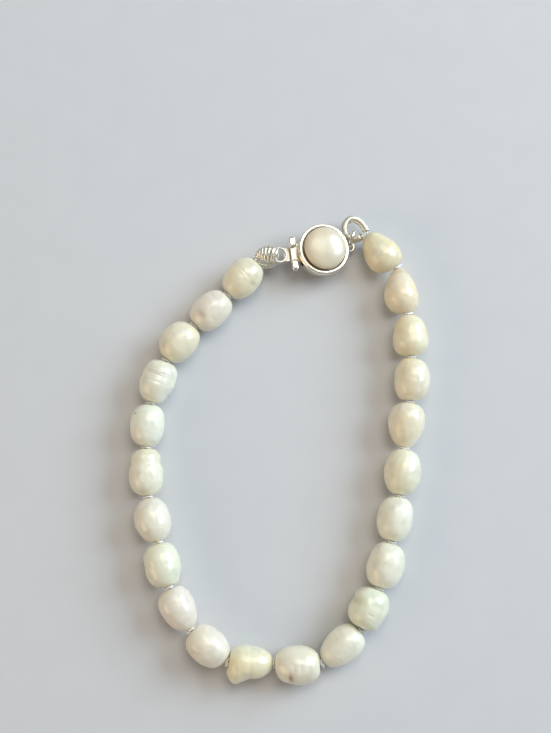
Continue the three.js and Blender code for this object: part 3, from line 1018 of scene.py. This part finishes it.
class BRACELET_OT_silk(bpy.types.Operator):
    """Makes the twisted silk thread and the knot between every two pearls"""

    bl_idname = "bracelet.silk"
    bl_label = "Knotted silk"

    def execute(self, context):
        pearls = [read_pearl(number) for number in range(1, PEARL_COUNT + 1)]
        shift = plan_shift()
        stops = [spline_through(GIMP_LEFT_ROUTE, 60) + shift]
        for pearl in pearls:
            stops.append(np.stack(pearl_ends(pearl)))
        stops.append(spline_through(GIMP_RIGHT_ROUTE, 60) + shift)
        path = softened(np.concatenate(stops), SILK["spacing"], SILK["soften"])
        turn = 2 * np.pi * path_lengths(path) / SILK["pitch"]
        plies = plied_section(SILK["radius"], SILK["sides"])
        shells = [swept(path * MM, plies * MM, turn=turn)]
        shells += [knot_shell(*knot_between(a, b)) for a, b in zip(pearls, pearls[1:])]
        piece = make_piece("knotted_silk", shells)
        settle(piece, silk_finish(context.scene.bracelet_silk), "silk", "silk_thread")
        return {"FINISHED"}


# ---------------------------------------------------------------- gimp


def coil_shell(places, wire, pitch):
    """Wire wound round and round a route. places are rows of x, y, z, half width and half depth (mm)."""
    line = spline_through(places, COIL_STEPS)
    _, _, ahead = carried_frames(line[:, :3], closed=False)
    side = unit(np.cross(ahead, UP))
    depthwise = np.cross(side, ahead)
    turns = path_lengths(line[:, :3])[-1] / pitch
    at = np.linspace(0, COIL_STEPS - 1, int(turns * COIL_SIDES))
    turn = np.linspace(0, 2 * np.pi * turns, len(at))[:, None]
    rows = np.concatenate([line, side, depthwise], axis=1)
    rows = np.stack([np.interp(at, np.arange(COIL_STEPS), column) for column in rows.T], axis=1)
    middle, reach, side, depthwise = rows[:, :3], rows[:, 3:5] - wire, rows[:, 5:8], rows[:, 8:]
    path = middle + reach[:, :1] * np.cos(turn) * side + reach[:, 1:] * np.sin(turn) * depthwise
    return swept(path * MM, round_section(wire, WIRE_SIDES) * MM)


class BRACELET_OT_gimp(bpy.types.Operator):
    """Winds the two gimp loops of fine silver wire that guard the thread at the clasp"""

    bl_idname = "bracelet.gimp"
    bl_label = "Gimp loops"

    def execute(self, context):
        silver = context.scene.bracelet_silver
        finish = silver_finish("gimp_wire", silver.gimp, silver, silver.roughness + GIMP_DULLNESS)
        shift = np.array((*plan_shift(), 0.0, 0.0))
        right = [(*place, RIGHT_REACH, RIGHT_REACH) for place in GIMP_RIGHT_ROUTE]
        loops = {
            "left": [(COIL_LEFT, WIRE_LEFT), (COIL_BACK, WIRE_BACK)],
            "right": [(right, WIRE_RIGHT)],
        }
        for side, coils in loops.items():
            shells = [coil_shell(np.array(places) + shift, **wire) for places, wire in coils]
            piece = make_piece(f"coiled_gimp_{side}", shells, CRISP["gimp"])
            paint(piece, "tarnish", np.zeros(len(piece.data.vertices)))
            settle(piece, finish, "gimp", f"gimp_{side}")
        return {"FINISHED"}


# ---------------------------------------------------------------- clasp


def clasp_place():
    """Where the clasp stands: its own upright axes put in the frame, from the flat of its back."""
    mount = next(m for m in frame["record"]["mounts"] if m["name"] == "clasp_back")
    back = Vector(mount["axis"])
    lean = math.acos(max(-1.0, min(1.0, -back.z)))
    heading = math.atan2(-back.y, -back.x)
    turn = Matrix.Rotation(heading, 4, "Z") @ Matrix.Rotation(lean, 4, "Y")
    return Matrix.Translation(Vector(mount["pos_m"])) @ turn @ Matrix.Scale(MM, 4)


def stand(piece):
    """Puts a clasp piece that was made upright in mm where it belongs."""
    piece.data.transform(clasp_place())
    piece.data.update()


def recess_posts(outline, angles):
    """Small upright posts that bridge the recess between the drum and the bezel."""
    beat = np.cos(angles * RECESS["posts"])
    post = np.clip((beat - RECESS["beat"]) * RECESS["edge"], 0, 1)
    middle = (DRUM["top"] + DRUM["recess_top"]) / 2
    within = bell(outline[:, 1] - middle, RECESS["band"]) * (outline[:, 0] < DRUM["recess"] + 0.03)
    return within[:, None] * post[None, :] * RECESS["height"]


def drum_outline():
    top, recess = DRUM["top"], DRUM["recess"]
    lower = filleted(
        (
            (0.2, 0.12),
            (2.6, 0.12),
            (2.75, 0.0),
            (DRUM["radius"] - 0.16, 0.0),
            (DRUM["radius"], 0.16),
            (DRUM["radius"], top - 0.1),
            (DRUM["radius"] - 0.1, top),
            (recess, top + 0.05),
        ),
        DRUM["fillet"],
    )
    neck = [(recess, z) for z in np.linspace(top + 0.08, DRUM["recess_top"] - 0.04, 6)]
    bead = filleted(
        (
            (recess, DRUM["recess_top"]),
            (BEZEL["radius"] - 0.1, DRUM["recess_top"] + 0.03),
            (BEZEL["radius"], DRUM["recess_top"] + 0.16),
            (BEZEL["radius"], BEZEL["floor"] - 0.02),
            (BEZEL["rim"] - 0.1, BEZEL["groove"]),
            (BEZEL["rim"], BEZEL["groove"] + 0.12),
            (BEZEL["rim"] - 0.02, BEZEL["top"] - 0.12),
            (BEZEL["rim"] - 0.16, BEZEL["top"]),
            (BEZEL["inner"] + 0.14, BEZEL["top"]),
            (BEZEL["inner"] + 0.02, BEZEL["top"] - 0.14),
            (BEZEL["inner"], BEZEL["floor"]),
            (0.2, BEZEL["floor"]),
        ),
        BEZEL["fillet"],
    )
    return np.concatenate([lower, neck, bead])


def ring_shell(x, y, z, radius, wire, steps=72, sides=20):
    angles = np.linspace(0, 2 * np.pi, steps, endpoint=False)
    path = np.stack([x + radius * np.cos(angles), y + radius * np.sin(angles), z + 0 * angles], axis=1)
    return swept(path, round_section(wire, sides), closed=True)


class BRACELET_OT_clasp_box(bpy.types.Operator):
    """Makes the clasp's drum with its bezel, its slot and its eye"""

    bl_idname = "bracelet.clasp_box"
    bl_label = "Clasp box"

    def execute(self, context):
        silver = context.scene.bracelet_silver
        body = lathed(drum_outline(), DRUM_SIDES, recess_posts)
        hollow = lathed(
            filleted(
                (
                    (0.2, HOLLOW["floor"]),
                    (HOLLOW["radius"], HOLLOW["floor"]),
                    (HOLLOW["radius"], HOLLOW["ceiling"]),
                    (0.2, HOLLOW["ceiling"]),
                ),
                HOLLOW["fillet"],
            ),
            HOLLOW_SIDES,
        )
        slot = rounded_block(
            (-DRUM["radius"], 0, (SLOT["bottom"] + SLOT["top"]) / 2),
            (DRUM["radius"] - 0.7, SLOT["width"] / 2, (SLOT["top"] - SLOT["bottom"]) / 2),
            0.12,
        )
        stem_path = np.array([(x, EYE["y"], EYE["z"]) for x in STEM["along"]])
        stem = swept(stem_path, round_section(STEM["radius"], STEM["sides"]))
        eye = ring_shell(EYE["x"], EYE["y"], EYE["z"], EYE["radius"], EYE["wire"])
        changes = (("DIFFERENCE", [hollow]), ("DIFFERENCE", [slot]), ("UNION", [stem]), ("UNION", [eye]))
        piece = combine("silver_clasp_box", [body], changes, CRISP["box"])
        # Painted shade mixed with patina: the recess under the bezel, the gap round the button pearl, the
        # bezel's groove and the inside of the drum are painted darker.
        place = vertices_of(piece)
        reach, height = np.hypot(place[:, 0], place[:, 1]), place[:, 2]
        recess = bell(height - 2.4, 0.16) * (reach > 3.5) * (reach < 4.02)
        above_floor = height - BEZEL["floor"]
        gap = (above_floor < 0.35) * (above_floor > -0.1) * (reach < BEZEL["inner"] + 0.1)
        groove = bell(height - BEZEL["groove"], 0.05) * (reach > 4.1)
        inside = (reach < HOLLOW["radius"] + 0.05) * (height > 0.3) * (height < 2.2) * 0.6
        paint(piece, "tarnish", np.clip(0.9 * recess + 0.4 * gap + 0.3 * groove + inside, 0, 1))
        stand(piece)
        finish = silver_finish("clasp_silver", silver.bright, silver, silver.roughness)
        settle(piece, finish, "silver", "clasp_box")
        return {"FINISHED"}


class BRACELET_OT_clasp_pearl(bpy.types.Operator):
    """Makes the button pearl that is set in the clasp"""

    bl_idname = "bracelet.clasp_pearl"
    bl_label = "Button pearl"

    def execute(self, context):
        settings = context.scene.bracelet_nacre
        angles = np.linspace(-0.96 * np.pi / 2, np.pi / 2, 56)[:-1]
        power = 2 / BUTTON["fullness"]
        out = BUTTON["radius"] * np.abs(np.cos(angles)) ** power
        rise = np.sign(np.sin(angles)) * np.abs(np.sin(angles)) ** power
        down, up = BUTTON["belly"] - BUTTON["bottom"], BUTTON["top"] - BUTTON["belly"]
        outline = np.stack([out, BUTTON["belly"] + rise * np.where(rise < 0, down, up)], axis=1)

        def uneven(outline, angles):
            points = np.stack(
                [
                    outline[:, :1] * np.cos(angles),
                    outline[:, :1] * np.sin(angles),
                    np.broadcast_to(outline[:, 1:], (len(outline), len(angles))),
                ],
                axis=-1,
            )
            fade = np.clip(outline[:, :1] / BUTTON_DENTS["fade"], 0, 1)
            return BUTTON_DENTS["height"] * fade * soft_dents(points, RNG_SEED, BUTTON_DENTS["size"])

        shell = lathed(outline, BUTTON_SIDES, uneven)
        count = shell.points.shape[0] * shell.points.shape[1]
        tones = {"gold": 0.25, "rose": 0.3, "green": 0.2, "stain": 0.0}
        attributes = {key: np.full(count, value) for key, value in tones.items()}
        piece = make_piece("button_pearl", [shell], CRISP["button"], attributes)
        stand(piece)
        finish = nacre_finish("champagne_nacre", settings.champagne, settings.champagne, settings)
        settle(piece, finish, "clasp_pearl", "clasp_pearl")
        return {"FINISHED"}


def strip_path():
    """The middle line of the spring strip, from the end ring, round the fold, to the thumb piece."""
    half = LEAF["thickness"] / 2
    low, high = LEAF["low"] + half, LEAF["high"] + half
    bend = (high - low) / 2
    angles = np.linspace(-np.pi / 2, np.pi / 2, 13)
    out, rise = bend * np.cos(angles), bend * np.sin(angles)
    fold = np.stack([LEAF["fold"] + out, 0 * angles, (low + high) / 2 + rise], axis=1)
    lower = np.linspace((LEAF["out"], 0, low), (LEAF["fold"], 0, low), 9)[:-1]
    upper = np.linspace((LEAF["fold"], 0, high), (LEAF["tip"], 0, high), 9)[1:]
    return np.concatenate([lower, fold, upper])


def flat_section(width, thickness):
    """The outline of a flat strip with rounded edges. Sideways is across the strip."""
    angles = np.linspace(0, 2 * np.pi, STRIP_SIDES, endpoint=False)
    across = squared(np.cos(angles), STRIP_SQUARENESS)
    upward = squared(np.sin(angles), STRIP_SQUARENESS)
    return np.stack([width / 2 * across, thickness / 2 * upward], axis=1)


class BRACELET_OT_clasp_tongue(bpy.types.Operator):
    """Makes the folded spring tongue with its thumb ears, neck and end ring"""

    bl_idname = "bracelet.clasp_tongue"
    bl_label = "Clasp tongue"

    def execute(self, context):
        silver = context.scene.bracelet_silver
        strip = swept(strip_path(), flat_section(LEAF["width"], LEAF["thickness"]))
        neck_line = np.linspace((NECK["start"], 0, NECK["bottom"]), (NECK["end"], 0, NECK["bottom"]), 14)
        angles = np.linspace(0, np.pi, 15)
        arch = np.stack([NECK["width"] / 2 * np.cos(angles), NECK["height"] * np.sin(angles)], axis=1)
        floor = np.stack([np.linspace(-NECK["width"] / 2, NECK["width"] / 2, 9)[1:-1], np.zeros(7)], axis=1)
        neck = swept(neck_line, np.concatenate([arch, floor]))
        ears = []
        top = EARS["bottom"] + EARS["height"]
        middle = (EARS["length"] + EARS["saddle"]) / 4
        reach = (EARS["length"] - EARS["saddle"]) / 4
        for way in (-1, 1):
            ears.append(
                rounded_block(
                    (EARS["x"], EARS["y"] + way * middle, (EARS["bottom"] + top) / 2),
                    (EARS["width"] / 2, reach, EARS["height"] / 2),
                    EAR_SQUARENESS,
                )
            )
        bridge = rounded_block(
            (EARS["x"], EARS["y"], EARS["bottom"] + 0.06),
            (EARS["width"] * 0.3, EARS["length"] * 0.34, 0.16),
            0.4,
        )
        ring = ring_shell(END_RING["x"], 0, END_RING["z"], END_RING["radius"], END_RING["wire"])
        changes = [("UNION", [neck]), ("UNION", [bridge])]
        changes += [("UNION", [ear]) for ear in ears]
        changes += [("UNION", [ring])]
        piece = combine("silver_tongue", [strip], changes, CRISP["tongue"])
        # Painted shade mixed with patina: the tongue is painted darker where it runs into the drum and along
        # the undersides at the lower leaf's height.
        place = vertices_of(piece)
        hidden = np.clip((place[:, 0] + 4.4) / 1.2, 0, 1) * 0.35
        under = bell(place[:, 2] - 0.75, 0.08) * 0.3
        paint(piece, "tarnish", np.clip(hidden + under, 0, 1))
        stand(piece)
        finish = silver_finish("tongue_silver", silver.bright, silver, silver.roughness)
        settle(piece, finish, "silver", "clasp_tongue")
        return {"FINISHED"}


class BRACELET_OT_jump_ring(bpy.types.Operator):
    """Makes the jump ring, with the butt of its wire left just open"""

    bl_idname = "bracelet.jump_ring"
    bl_label = "Jump ring"

    def execute(self, context):
        silver = context.scene.bracelet_silver
        gap = math.radians(JUMP_RING["gap"])
        angles = np.linspace(gap / 2, 2 * np.pi - gap / 2, JUMP_RING["steps"])
        angles += math.radians(JUMP_RING["butt"])
        heading = math.radians(JUMP_RING["heading"])
        across = np.array((math.cos(heading), math.sin(heading), 0.0))
        centre = box_centre("jump_ring") / MM
        spokes = np.cos(angles)[:, None] * across + np.sin(angles)[:, None] * UP
        path = centre + JUMP_RING["radius"] * spokes
        wire = round_section(JUMP_RING["wire"], JUMP_RING["sides"])
        piece = make_piece("silver_jump_ring", [swept(path * MM, wire * MM)], CRISP["ring"])
        paint(piece, "tarnish", np.zeros(len(piece.data.vertices)))
        finish = silver_finish("ring_silver", silver.bright, silver, silver.roughness)
        settle(piece, finish, "silver", "jump_ring")
        return {"FINISHED"}


# ---------------------------------------------------------------- stage


def hang(lamp, power):
    """Hangs a lamp that faces the middle of the bracelet."""
    data = bpy.data.lights.new(lamp.name, "AREA")
    data.shape = "RECTANGLE"
    data.size, data.size_y = lamp.size
    data.energy = power
    data.color = lamp.shade
    light = bpy.data.objects.new(lamp.name, data)
    light.location = from_centre(lamp.azimuth, lamp.elevation, LIGHT_DISTANCE)
    light.rotation_euler = (-light.location).to_track_quat("-Z", "Y").to_euler()
    bpy.context.scene.collection.objects.link(light)


def from_centre(azimuth, elevation, distance):
    """A place seen from the bracelet at an azimuth (from +X, anticlockwise) and elevation in degrees."""
    a, e = math.radians(azimuth), math.radians(elevation)
    return distance * Vector((math.cos(a) * math.cos(e), math.sin(a) * math.cos(e), math.sin(e)))


class BRACELET_OT_stage(bpy.types.Operator):
    """Lays the floor, hangs the lights and sets the camera"""

    bl_idname = "bracelet.stage"
    bl_label = "Stage"

    def execute(self, context):
        settings = context.scene.bracelet_stage
        self.lay_floor(settings)
        self.hang_lights(settings)
        self.set_camera(settings)
        context.scene.view_settings.view_transform = "Standard"
        return {"FINISHED"}

    def lay_floor(self, settings):
        mesh = bpy.data.meshes.new("floor")
        corners = [(x * FLOOR_REACH, y * FLOOR_REACH, 0) for x, y in ((-1, -1), (1, -1), (1, 1), (-1, 1))]
        mesh.from_pydata(corners, [], [(0, 1, 2, 3)])
        floor = bpy.data.objects.new("floor", mesh)
        floor.location.z = min(0.0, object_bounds()[0].z)
        finish = Finish("plain_floor")
        mottle = finish.noise(6 * MM, 4.0)
        shade = finish.mix(0.08 * mottle, settings.floor, (1.0, 1.0, 1.0))
        mesh.materials.append(finish.done({"Base Color": shade, "Roughness": 0.85}))
        bpy.context.scene.collection.objects.link(floor)
        floor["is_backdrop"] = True

    def hang_lights(self, settings):
        for lamp in LAMPS:
            hang(lamp, getattr(settings, lamp.name))
        world = bpy.data.worlds.new("sky")
        world.use_nodes = True
        background = world.node_tree.nodes["Background"]
        background.inputs["Color"].default_value = (0.93, 0.95, 1.0, 1.0)
        background.inputs["Strength"].default_value = settings.sky
        bpy.context.scene.world = world

    def set_camera(self, settings):
        data = bpy.data.cameras.new("camera")
        data.sensor_fit = "VERTICAL"
        data.sensor_height = 36.0
        data.sensor_width = 36.0
        data.lens = data.sensor_height * settings.distance / VIEW_HEIGHT
        back = Vector((0, -math.sin(settings.tilt), math.cos(settings.tilt)))
        camera = bpy.data.objects.new("camera", data)
        camera.location = VIEW_CENTRE + back * settings.distance
        camera.rotation_euler = (-back).to_track_quat("-Z", "Y").to_euler()
        data.clip_start, data.clip_end = 1 * MM, 10.0
        bpy.context.scene.collection.objects.link(camera)
        bpy.context.scene.camera = camera


# ---------------------------------------------------------------- panel

OPERATORS = (
    BRACELET_OT_pearls,
    BRACELET_OT_silk,
    BRACELET_OT_gimp,
    BRACELET_OT_clasp_box,
    BRACELET_OT_clasp_pearl,
    BRACELET_OT_clasp_tongue,
    BRACELET_OT_jump_ring,
    BRACELET_OT_stage,
)
SETTINGS = (
    ("bracelet_nacre", NacreSettings),
    ("bracelet_silver", SilverSettings),
    ("bracelet_silk", SilkSettings),
    ("bracelet_stage", StageSettings),
)


class BRACELET_PT_pieces(bpy.types.Panel):
    """Lists the pieces of the bracelet and the stage"""

    bl_idname = "BRACELET_PT_pieces"
    bl_label = "Pearl bracelet"
    bl_space_type = "VIEW_3D"
    bl_region_type = "UI"
    bl_category = "Bracelet"

    def draw(self, context):
        for operator in OPERATORS:
            self.layout.operator(operator.bl_idname)
        for key, group in SETTINGS:
            box = self.layout.box()
            for field in group.__annotations__:
                box.prop(getattr(context.scene, key), field)


def register():
    for key, group in SETTINGS:
        bpy.utils.register_class(group)
        setattr(bpy.types.Scene, key, bpy.props.PointerProperty(type=group))
    for item in (*OPERATORS, BRACELET_PT_pieces):
        bpy.utils.register_class(item)


def unregister():
    for item in (BRACELET_PT_pieces, *reversed(OPERATORS)):
        bpy.utils.unregister_class(item)
    for key, group in reversed(SETTINGS):
        delattr(bpy.types.Scene, key)
        bpy.utils.unregister_class(group)


def main():
    register()
    for operator in OPERATORS:
        getattr(bpy.ops.bracelet, operator.bl_idname.split(".")[1])()


if __name__ == "__main__":
    main()
